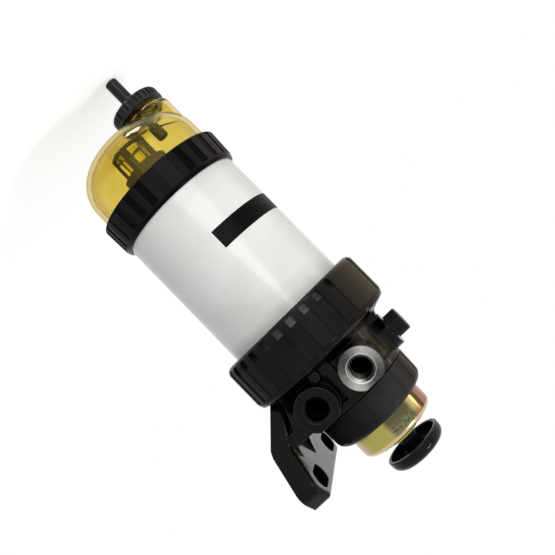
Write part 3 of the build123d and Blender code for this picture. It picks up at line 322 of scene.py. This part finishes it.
def head_paint():
    """Gloss black paint over a cast surface; one port is faced and bored to bare aluminium."""
    f = Finish("head_paint", tone(8, 8, 9), 0.2, specular=0.12, coat_roughness=0.04)
    edge = f.soften(0.0009)
    cast, lumps, runs = f.noise(900, 3.0, 0.6), f.noise(170, 2.0, 0.5), f.noise(70, 2.0, 0.5)
    rubbed_and_highlit = edge.rising(0.1, 0.26) * f.noise(260, 2.0, 0.6).rising(0.2, 0.6)

    # Where the first port is bare, and where both are painted black deep inside as shade
    from_port = f.distance(f.x - PORT_X[0], f.z - PORT_Z)
    from_second = f.distance(f.x - PORT_X[1], f.z - PORT_Z)
    in_front = f.y.falling(PORT_FACE_Y + HAIR, PORT_FACE_Y + 3 * HAIR)
    faced = in_front * from_port.falling(PORT_RING_R - 2 * HAIR, PORT_RING_R)
    in_bore = from_port.falling(PORT_MOUTH_R, PORT_MOUTH_R + 2 * HAIR) * (1 - in_front)
    bored = in_bore * f.y.falling(*BORE_END_Y)
    bare = faced.most(bored)
    deep = f.y.rising(*GALLERY_NEAR_Y) * f.y.falling(*GALLERY_FAR_Y)
    hollow = deep * from_port.least(from_second).falling(PORT_MOUTH_R, PORT_MOUTH_R + 2 * HAIR)

    # The saddle between port and vent, and the bracket's face towards the filter, where warm
    # reflections are painted
    saddle = f.x.between(*SADDLE_X) * f.z.between(*SADDLE_Z) * f.y.falling(*SADDLE_Y)
    facing = f.node("ShaderNodeTexCoord").outputs["Normal"]
    sideways = f.value("ShaderNodeSeparateXYZ", {}, {0: facing})
    at_plate = f.x.between(PLATE_INNER_X - 2 * HAIR, PLATE_INNER_X + 2 * HAIR, HAIR)
    plate = at_plate * sideways.falling(-0.98, -0.9)

    paint = f.blend(tone(4, 4, 5), tone(12, 12, 13), lumps.rising(0.35, 0.7))
    # Painted warm reflections on the saddle and on the bracket's face
    paint = f.blend(paint, tone(58, 49, 40), saddle * (0.6 + 0.4 * runs.rising(0.3, 0.6)))
    paint = f.blend(paint, tone(62, 52, 42), plate)
    # Edges painted paler, as worn paint and as a painted highlight along them
    paint = f.blend(paint, tone(120, 118, 114), rubbed_and_highlit * 0.5)
    # Painted shade deep inside both ports
    paint = f.blend(paint, tone(1, 1, 1), hollow)

    # Turned metal: painted sheen streaks fan out from the bore, and painted highlights light one
    # side of the bore's wall and its mouth
    turning = (from_port * (2 * pi / TURNING_PITCH)).sine()
    fan = f.around(f.x - PORT_X[0], f.z - PORT_Z)
    sheen = 0.5 + 0.5 * (fan * 2 + 0.7).sine()
    gleam = (fan + 1.3).sine()
    brushed_and_sheen = (0.7 * sheen + 0.7 * f.noise(420, 4.0, 0.7) - 0.2).rising(0.05, 0.95)
    wall = f.blend(tone(66, 65, 63), tone(206, 204, 200), gleam.rising(0.5, 1.0))
    mouth = from_port.between(*PORT_MOUTH_LINE) * faced * (0.45 + 0.55 * gleam.rising(-0.2, 0.8))
    metal = f.blend(tone(62, 61, 60), tone(136, 135, 132), brushed_and_sheen)
    metal = f.blend(metal, wall, bored)
    metal = f.blend(metal, tone(236, 234, 230), mouth)

    gloss = 0.1 + 0.18 * runs.rising(0.35, 0.75)
    f.surface(base_color=f.blend(paint, metal, bare), metallic=bare, coat_weight=plate * 0.35,
              roughness=gloss + bare * (0.14 + 0.05 * turning) + 0.5 * hollow)
    thread = (f.y * (2 * pi / PORT_PITCH)).sine()
    thread = thread * from_port.falling(PORT_THREAD_R, PORT_THREAD_R + 3 * HAIR)
    f.bump((cast * 0.6 + f.grain(520) * 0.4) * (1 - plate), 0.0001, 0.3)
    f.bump((lumps + 0.6 * runs) * (1 - plate), 0.0009, 0.22)
    f.bump(thread + turning * bare * 0.06, 0.0004, 0.8)
    return f


def moulded(name, shade, roughness, grain_scale=1500, specular=0.08, edge_radius=0.00035, lift=6):
    """Glass-filled nylon: fine grain, faint flow marks and edges painted a little paler, as rubbing
    and as a painted highlight.
    """
    f = Finish(name, grey(shade), roughness, specular=specular)
    edge = f.soften(edge_radius)
    flow = f.noise(70, 3.0, 0.55, (1.0, 1.0, 0.35))
    rubbed_and_highlit = edge.rising(0.01, 0.2) * f.noise(900, 2.0).rising(0.38, 0.66)
    f.colour = f.blend(grey(shade - 4), grey(shade + lift), flow.rising(0.3, 0.72))
    # Edges painted paler, as rubbing and as a painted highlight
    f.colour = f.blend(f.colour, tone(60, 60, 62), rubbed_and_highlit * 0.3)
    f.rough = roughness + 0.12 * (flow - 0.5) + 0.08 * rubbed_and_highlit
    f.surface(base_color=f.colour, roughness=f.rough)
    f.bump(f.grain(grain_scale), 0.00007, 0.35)
    return f


def vent_side(angle, full, gone):
    """1 from the vent round to one angle on the ports' side, fading out at both of its ends. It
    marks where warm reflections and a paler lit side are painted.
    """
    return angle.falling(full, gone).most(angle.rising(pi - SIDE_FADE, pi))


def collar_plastic():
    """The locking collar: satin ribs, glossier notch floors, a band painted paler as light, pockets
    painted lit on one side and shaded elsewhere, and a painted warm reflection by the vent.
    """
    f = moulded("collar_plastic", 25, 0.36, specular=0.03)
    radius, angle = f.radius(), f.angle()
    floor = radius.falling(COLLAR_FLOOR_R, COLLAR_FLOOR_R + 3 * HAIR)
    pocket = radius.falling(POCKET_R - HAIR, POCKET_R + HAIR) * f.z.between(*POCKET_BAND)
    # A band painted paler where light falls
    shade = f.blend(f.colour, tone(32, 32, 34), angle.between(-1.25, -0.85, 0.25) * 0.7)
    # Painted warm reflection on the vent side
    shade = f.blend(shade, tone(60, 51, 42), vent_side(angle, full=-2.8, gone=-2.2))
    # Pocket slopes painted lit on one side and shaded elsewhere
    slope = f.blend(tone(18, 18, 20), tone(96, 96, 99), angle.between(-2.05, -1.45, 0.35))
    f.surface(base_color=f.blend(shade, slope, pocket * 0.85), roughness=f.rough - 0.12 * floor)
    return f


def bowl_ring_plastic():
    """The bowl's collar: matt ribs between glossy recesses painted darker as shade, and a painted
    warm reflection by the vent.
    """
    f = moulded("bowl_ring_plastic", 18, 0.5, specular=0.05)
    below_ribs = RING_FOOT_R - (f.z - RING_FOOT_Z) * RING_TAPER - f.radius()
    sunk = below_ribs.rising(2 * HAIR, 4 * HAIR)
    # Painted warm reflection on the vent side
    shade = f.blend(f.colour, tone(42, 36, 32), vent_side(f.angle(), full=-2.7, gone=-2.2))
    # The recesses are painted darker as shade, and made glossier
    f.surface(base_color=f.blend(shade, tone(2, 2, 3), sunk), roughness=f.rough - 0.32 * sunk)
    return f


def drain_plastic():
    """The drain cap: glossier nylon with fine upright ribs."""
    f = moulded("drain_plastic", 20, 0.3, specular=0.16)
    ribs = (f.angle(DRAIN_X) * CAP_RIBS).sine()
    f.bump(ribs * f.radius(DRAIN_X).rising(*CAP_RIB_R), 0.0003, 0.6)
    return f


def vent_plastic():
    """The vent's finger screw: knurl valleys painted black as shade, and crests painted pale as
    rubbing and as a painted highlight.
    """
    f = moulded("vent_plastic", 10, 0.36, edge_radius=0.0002)
    from_axis = f.distance(f.y, f.z - VENT_Z)
    crest = from_axis.rising(VENT_KNOB_R - KNURL_DEPTH, VENT_KNOB_R - HAIR)
    # Painted shade in the valleys, painted highlight and rubbing on the crests
    f.surface(base_color=f.blend(tone(1, 1, 1), tone(36, 35, 34), crest))
    return f


def nut_plastic():
    """The pump's nut: black, with the side between the ports and the vent painted paler as light,
    and a painted warm reflection at the vent.
    """
    f = moulded("nut_plastic", 19, 0.3, specular=0.04)
    angle = f.angle()
    # One side painted paler as light
    shade = f.blend(f.colour, tone(48, 48, 49), vent_side(angle, full=-2.0, gone=-1.2))
    # Painted warm reflection at the vent
    shade = f.blend(shade, tone(46, 40, 35), vent_side(angle, full=-2.75, gone=-2.4))
    f.surface(base_color=shade)
    return f


def bush_plastic():
    """The rod's guide: yellow-green nylon with a serrated edge."""
    f = Finish("bush_plastic", tone(158, 160, 66), 0.3, specular=0.3)
    f.soften(0.0002)
    teeth = (f.angle() * GUIDE_TEETH).sine()
    # Painted shade in the valleys between the teeth and painted light on their crests
    f.surface(base_color=f.blend(tone(96, 92, 24), tone(206, 206, 104), teeth.rising(-0.5, 0.7)),
              roughness=0.28 + 0.1 * f.noise(400, 2.0))
    f.bump(teeth, 0.0002, 0.6)
    return f


def rod_plastic():
    return moulded("rod_plastic", 8, 0.25, specular=0.1, edge_radius=0.0002)


def button_plastic():
    """The push button: gloss black outside with fine handling marks, matt and painted darker as
    shade inside, a painted highlight on the rim and a painted warm reflection on the vent side.
    """
    f = Finish("button_plastic", tone(8, 8, 9), 0.1, specular=0.12)
    f.soften(0.0003)
    radius = f.radius()
    rim = f.z.falling(BUTTON_RIM_Z + 2 * HAIR, BUTTON_RIM_Z + 7 * HAIR)
    rim = rim * radius.rising(BUTTON_IN_R - 6 * HAIR, BUTTON_IN_R)
    inside = radius.falling(BUTTON_IN_R - HAIR, BUTTON_IN_R + 4 * HAIR)
    inside = inside * f.z.falling(BUTTON_ROOF_Z, BUTTON_ROOF_Z + 2 * HAIR)
    matt = inside * (1 - rim)
    smear = f.noise(60, 3.0, 0.6)
    marks = f.noise(500, 4.0, 0.7, (1.0, 1.0, 0.1)).rising(0.62, 0.7)
    # Painted warm reflection on the vent side
    brown = vent_side(f.angle(), full=-2.6, gone=-2.1) * radius.rising(*BUTTON_SIDE_R)
    shade = f.blend(tone(5, 5, 6), tone(12, 12, 14), smear.rising(0.3, 0.7))
    shade = f.blend(shade, tone(36, 32, 30), brown)
    # Painted highlight along the rim
    shade = f.blend(shade, tone(74, 72, 70), rim * 0.4)
    gloss = 0.07 + 0.06 * smear.rising(0.4, 0.8) + (0.15 * marks) * (1 - matt)
    # The inside is painted darker as shade, and made matt
    f.surface(base_color=f.blend(shade, tone(1, 1, 1), matt), roughness=gloss + 0.9 * matt)
    f.bump(f.noise(90, 2.0) * (1 - matt), 0.00006, 0.2)
    return f


def can_enamel():
    """White enamel with a black printed field round part of the can, painted shade and reflection
    of the collar next to it, and a painted warm shade on the vent side.
    """
    f = Finish("can_enamel", tone(222, 223, 220), 0.36, specular=0.06, coat_roughness=0.16)
    angle = f.angle()

    # The field runs from its start on past the vent, where the angle jumps, to its end
    started = angle.rising(LABEL_STARTS - LABEL_SOFT, LABEL_STARTS + LABEL_SOFT)
    not_ended = angle.falling(LABEL_ENDS - LABEL_SOFT, LABEL_ENDS + LABEL_SOFT)
    patch = f.z.between(*LABEL_BAND) * not_ended.most(started)

    haze = f.noise(24, 3.0, 0.55)
    collar_shade_wobble = f.noise(120, 3.0, 0.6, (1.0, 1.0, 0.4))
    collar_shade = (f.z + 0.006 * collar_shade_wobble).rising(*COLLAR_SHADE_Z)
    specks = f.noise(620, 1.0, 0.3).rising(0.83, 0.85)
    white = f.blend(tone(214, 216, 212), tone(224, 226, 223), haze.rising(0.3, 0.7))
    # A painted warm shade on the vent side
    white = f.blend(white, tone(186, 180, 168), vent_side(angle, full=-2.95, gone=-2.45) * 0.5)
    # Painted shade and reflection of the collar next to it, and dust specks
    white = f.blend(white, tone(150, 149, 143), (0.45 * collar_shade).most(0.8 * specks))
    ink = f.blend(tone(1, 1, 3), tone(5, 6, 12), haze.rising(0.35, 0.75))
    f.surface(base_color=f.blend(white, ink, patch), coat_weight=0.8 * (1 - patch),
              roughness=0.34 + 0.1 * haze)
    f.bump(f.noise(380, 2.0, 0.5), 0.00008, 0.25)
    f.bump(patch, 0.00005, 0.6)
    return f


def amber_bowl():
    """Clear amber, deeper where seen edge on and paler in the post, with a thread on its neck."""
    f = Finish("amber_bowl", tone(230, 216, 142), 0.0, ior=1.42, transmission_weight=1.0,
               specular_tint=tone(156, 140, 84))
    edge_on = Signal(f, f.node("ShaderNodeLayerWeight", {}, {"Blend": 0.5}).outputs["Facing"])
    swirl = f.noise(36, 3.0, 0.5).rising(0.3, 0.75)
    amber = f.blend(tone(232, 218, 146), tone(226, 210, 128), swirl)
    amber = f.blend(amber, tone(206, 180, 84), edge_on.rising(0.40, 0.62))
    amber = f.blend(tone(246, 240, 176), amber, f.radius().rising(POST_R - 2 * HAIR, POST_R))
    f.surface(base_color=amber, roughness=0.02 * f.noise(300, 3.0).rising(0.6, 0.9))
    on_neck = f.z.falling(NECK_TOP_Z - 4 * HAIR, NECK_TOP_Z)
    on_neck = on_neck * f.radius(DRAIN_X).falling(NECK_R, NECK_R + 2 * HAIR)
    f.bump(f.noise(60, 2.0), 0.0001, 0.1)
    f.bump((f.z * (2 * pi / NECK_PITCH)).sine() * on_neck, 0.0004, 0.8)

    # Its rim is seen straight through, and light for what stands inside passes it everywhere
    tinted = f.node("ShaderNodeBsdfTransparent", {}, {"Color": tone(224, 204, 134)})
    clear = f.node("ShaderNodeBsdfTransparent", {}, {"Color": tone(250, 244, 215)})
    rim = f.mixed(f.shader, tinted, edge_on.rising(0.66, 0.96) * 0.86)
    shadow = f.node("ShaderNodeLightPath").outputs["Is Shadow Ray"]
    f.feed(f.output.inputs["Surface"], f.mixed(rim, clear, shadow).outputs[0])
    return f


def passivated_zinc():
    """Yellow passivated zinc: its own mottle, and tints drifting round the cup from cream to olive,
    yellow and rose, painted as reflections, with a painted highlight streak and shoulder.
    """
    f = Finish("passivated_zinc", tone(150, 140, 84), 0.26, metallic=1.0)
    f.soften(0.0005)
    angle = f.angle()
    turn = angle + 0.5 * (f.noise(38, 3.0, 0.55, (1.0, 1.0, 0.5)) - 0.5)
    bloom = f.noise(420, 5.0, 0.75)
    lines = f.noise(60, 2.0, 0.6, (1.0, 1.0, 40.0))
    cream, olive, dull = tone(186, 164, 128), tone(164, 156, 84), tone(92, 87, 60)
    brown, rose = tone(84, 68, 48), tone(158, 112, 92)
    # A painted yellow highlight streak, browner towards the top
    streak_highlight = f.blend(tone(192, 176, 116), tone(140, 104, 72), f.z.rising(*STREAK_Z))
    # Bands round the cup are painted reflections
    tint_and_reflection = rose
    for colour, begins, full in (
            (brown, -2.66, -2.6), (streak_highlight, -2.52, -2.46), (dull, -2.34, -2.2),
            (olive, -1.70, -1.54), (cream, -0.95, -0.5), (olive, 0.2, 0.7), (rose, 1.6, 2.2)):
        tint_and_reflection = f.blend(tint_and_reflection, colour, turn.rising(begins, full))
    mottled = bloom.rising(0.42, 0.6) * turn.between(-2.25, -1.5, 0.2)
    tint_and_reflection = f.blend(tint_and_reflection, tone(168, 172, 136), mottled * 0.4 * f.z.rising(*MOTTLE_Z))
    tint_and_reflection = f.blend(tint_and_reflection, tone(110, 92, 52), bloom.rising(0.62, 0.78) * 0.4)
    # A painted highlight on the rounded shoulder
    tint_and_reflection = f.blend(tint_and_reflection, tone(214, 188, 152), f.z.rising(*SHOULDER_Z) * 0.85)
    tint_and_reflection = f.blend(tint_and_reflection, tone(172, 174, 84), f.z.rising(*BOSS_Z))
    f.surface(base_color=tint_and_reflection, roughness=0.17 + 0.08 * bloom + 0.03 * lines)
    f.bump(lines, 0.00003, 0.08)
    f.bump((angle * CRIMP_TEETH).sine() * f.radius().falling(*CRIMP_R), 0.0002, 0.7)
    f.bump(bloom, 0.0001, 0.02)
    return f


def bright_metal(name, low, high, roughness):
    """Drawn or plated metal with fine lines round it."""
    f = Finish(name, high, roughness, metallic=1.0)
    f.soften(0.0003)
    lines = f.noise(90, 3.0, 0.6, (1.0, 1.0, 30.0))
    f.surface(base_color=f.blend(low, high, f.noise(120, 3.0).rising(0.3, 0.7)),
              roughness=roughness + 0.12 * (lines - 0.5))
    f.bump(lines, 0.00005, 0.4)
    return f


def plug_steel():
    return bright_metal("plug_steel", tone(168, 164, 148), tone(204, 200, 184), 0.32)


def tin_plate():
    return bright_metal("tin_plate", tone(176, 176, 172), tone(206, 206, 202), 0.3)


def spring_steel():
    return bright_metal("spring_steel", tone(120, 120, 118), tone(170, 170, 168), 0.35)


def cage_plastic():
    """The nylon inside the can and the bowl: the element's caps, its cage and the drain's stem."""
    return moulded("cage_plastic", 58, 0.45, grain_scale=900, lift=14)


def filter_paper():
    """Resin treated paper, with fibres and a dull yellow cast."""
    f = Finish("filter_paper", tone(214, 198, 150), 0.9)
    fibre = f.noise(900, 4.0, 0.7, (1.0, 1.0, 0.3))
    f.surface(base_color=f.blend(tone(196, 178, 128), tone(226, 212, 168), fibre.rising(0.3, 0.7)))
    f.bump(fibre, 0.0002, 0.6)
    return f


def rubber(name, shade):
    """Black rubber with a faint grey bloom."""
    f = Finish(name, grey(shade, 0), 0.7, specular=0.3)
    bloom = f.noise(200, 3.0, 0.6)
    f.surface(base_color=f.blend(grey(shade - 6, 0), grey(shade + 8, 0), bloom.rising(0.3, 0.75)),
              roughness=0.6 + 0.2 * bloom)
    f.bump(f.grain(1200), 0.00006, 0.4)
    return f


def seal_rubber():
    return rubber("seal_rubber", 30)


def diaphragm_rubber():
    return rubber("diaphragm_rubber", 40)


FINISHES = (
    head_paint, plug_steel, seal_rubber, collar_plastic, can_enamel, tin_plate, cage_plastic,
    filter_paper, amber_bowl, bowl_ring_plastic, drain_plastic, vent_plastic, nut_plastic,
    passivated_zinc, bush_plastic, button_plastic, rod_plastic, spring_steel, diaphragm_rubber,
)


def dress_nodes():
    """Every CAD node gets the finish of its material slot; gives back the finished materials."""
    made = {make.__name__: make().material for make in FINISHES}
    for part in frame["record"]["subparts"]:
        node = frame["nodes"][part["node"]]
        node.data.materials.clear()
        node.data.materials.append(made[part["material_slot"]])
    return made


def crimped_lip(material):
    """The serrated lip that is crimped round the rod's guide, on top of the pump's cover."""
    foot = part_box("pump_cover")[1].z
    bpy.ops.object.select_all(action="DESELECT")
    bpy.ops.mesh.primitive_cylinder_add(vertices=2 * LIP_TEETH, radius=LIP_R, depth=LIP_RISE,
                                        location=(FILTER_X, 0.0, foot + LIP_RISE / 2))
    lip = bpy.context.object
    lip.name = "crimped_lip"

    # Both end faces are inset and bridged, which leaves a ring
    bpy.ops.object.mode_set(mode="EDIT")
    bpy.ops.mesh.select_mode(type="FACE")
    shape = bmesh.from_edit_mesh(lip.data)
    for face in shape.faces:
        face.select_set(abs(face.normal.z) > 0.9)
    bpy.ops.mesh.inset(thickness=LIP_WALL)
    bpy.ops.mesh.bridge_edge_loops()

    # Every other outer face is pushed in
    bpy.ops.mesh.select_all(action="DESELECT")
    shape = bmesh.from_edit_mesh(lip.data)
    outer = [face for face in shape.faces
             if abs(face.normal.z) < 0.1 and face.normal.dot(face.calc_center_median()) > 0]
    outer.sort(key=lambda face: atan2(face.normal.y, face.normal.x))
    for face in outer[::2]:
        face.select_set(True)
    bpy.ops.mesh.inset(thickness=LIP_NOTCH / 4, depth=-LIP_NOTCH, use_individual=True)

    bpy.ops.mesh.select_all(action="SELECT")
    bpy.ops.mesh.normals_make_consistent(inside=False)
    bpy.ops.object.mode_set(mode="OBJECT")
    bpy.ops.object.transform_apply(location=True, rotation=True, scale=True)
    lip.data.materials.append(material)
    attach(lip, "head")


def flexible(node, name, material):
    """A merged copy that stands for a CAD piece which gives way in use."""
    piece = bpy.data.objects.new(name, frame["nodes"][node].data.copy())
    bpy.context.scene.collection.objects.link(piece)
    bpy.ops.object.select_all(action="DESELECT")
    piece.select_set(True)
    bpy.context.view_layer.objects.active = piece
    bpy.ops.mesh.customdata_custom_splitnormals_clear()
    bpy.ops.object.mode_set(mode="EDIT")
    bpy.ops.mesh.select_all(action="SELECT")
    bpy.ops.mesh.remove_doubles(threshold=1e-6)
    bpy.ops.object.mode_set(mode="OBJECT")
    bpy.ops.object.shade_smooth_by_angle(angle=radians(35))
    piece.data.materials.clear()
    piece.data.materials.append(material)
    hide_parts(node)
    return piece


def pump_inside(materials):
    """Merged copies take the place of the pump's spring, on the head, and of its rubber hat; the
    button's stroke is read, but neither piece is shortened or folded.
    """
    joints = {joint["name"]: joint for joint in frame["record"]["behaviour"]["joints"]}
    stroke = joints["pump_press"]["range_m"][1]
    low, high = (corner.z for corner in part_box("pump_spring"))
    spring = flexible("pump_spring", "return_spring", materials["spring_steel"])
    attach(spring, "head")
    1 - stroke / (high - low)
    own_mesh(spring)
    low, high = (corner.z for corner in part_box("pump_diaphragm"))
    hat = flexible("pump_diaphragm", "rubber_hat", materials["diaphragm_rubber"])
    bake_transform(hat)


def camera():
    """The photo's camera."""
    scene = bpy.context.scene
    data = bpy.data.cameras.new("camera")
    data.lens = CAMERA_LENS
    data.sensor_width = CAMERA_SENSOR
    data.clip_start, data.clip_end = CAMERA_CLIP
    scene.camera = bpy.data.objects.new("camera", data)
    scene.collection.objects.link(scene.camera)
    scene.camera.matrix_world = Matrix.Translation(CAMERA_PLACE) @ CAMERA_TURN.to_4x4()
    scene.view_settings.view_transform = "Standard"


def lamp(name, towards, along, distance, width, height, power, colour):
    """A softbox that looks at the middle of the part."""
    data = bpy.data.lights.new(name, "AREA")
    data.shape = "RECTANGLE"
    data.size, data.size_y = width, height
    data.energy = power
    data.color = colour
    box = bpy.data.objects.new(name, data)
    bpy.context.scene.collection.objects.link(box)
    ahead = (CAMERA_TURN @ Vector(towards)).normalized()
    across = (CAMERA_TURN @ Vector(along)).cross(ahead).normalized()
    turn = Matrix((across, ahead.cross(across), ahead)).transposed()
    box.matrix_world = Matrix.Translation(MIDDLE + ahead * distance) @ turn.to_4x4()


def surround():
    """A world that shows white, but lights the part from all around less strongly than that."""
    world = bpy.data.worlds.new("surround")
    bpy.context.scene.world = world
    world.use_nodes = True
    nodes = Nodes(world.node_tree)
    light = nodes.node("ShaderNodeBackground", {}, {"Color": WHITE, "Strength": WORLD_LIGHT})
    white = nodes.node("ShaderNodeBackground", {}, {"Color": WHITE})
    sky = nodes.mixed(light, white, nodes.shown())
    nodes.node("ShaderNodeOutputWorld", {}, {"Surface": sky.outputs[0]})


def pale_floor():
    """A floor that shows nearly white and takes the part's shadow."""
    bpy.ops.object.select_all(action="DESELECT")
    bpy.ops.mesh.primitive_plane_add(size=FLOOR_SIZE, location=(FILTER_X, 0.0, FLOOR_Z))
    floor = bpy.context.object
    floor.name = "floor"
    floor.visible_shadow = False
    floor.visible_glossy = False
    f = Finish("floor_white", tone(240, 240, 240), 0.8, specular=0.1)
    f.surface(base_color=f.blend(tone(236, 236, 236), tone(243, 243, 243), f.noise(3.0)),
              emission_color=WHITE, emission_strength=FLOOR_GLOW * f.shown())
    floor.data.materials.append(f.material)


camera()
surround()
for row in LAMPS:
    lamp(*row)
pale_floor()
materials = dress_nodes()
crimped_lip(materials["passivated_zinc"])
pump_inside(materials)
